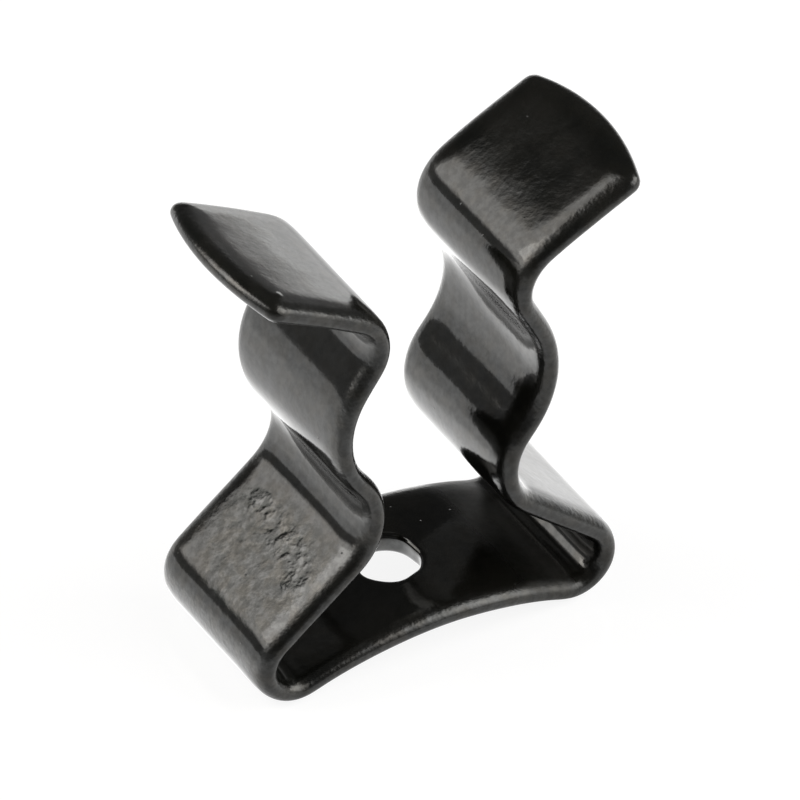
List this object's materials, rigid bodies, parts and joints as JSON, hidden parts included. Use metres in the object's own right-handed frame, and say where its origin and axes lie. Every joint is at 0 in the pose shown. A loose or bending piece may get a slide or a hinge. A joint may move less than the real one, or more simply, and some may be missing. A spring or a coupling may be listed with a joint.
{
  "type": "spring clip",
  "caption": "Open spring clip for a round tool handle: a folded strip with two curved jaws, flared lips and a bowed base with a screw hole.",
  "frame": {"origin": "on the mounting surface, below the middle of the screw hole", "axes": "+X across the jaws, +Y along the held tool, +Z away from the mounting surface"},
  "size_m": [0.0222, 0.0094, 0.0254],
  "materials": {
    "coating": "glossy black dip coating, slightly uneven"
  },
  "bodies": {
    "root": {"spring_clip": "coating"}
  },
  "joints": []
}
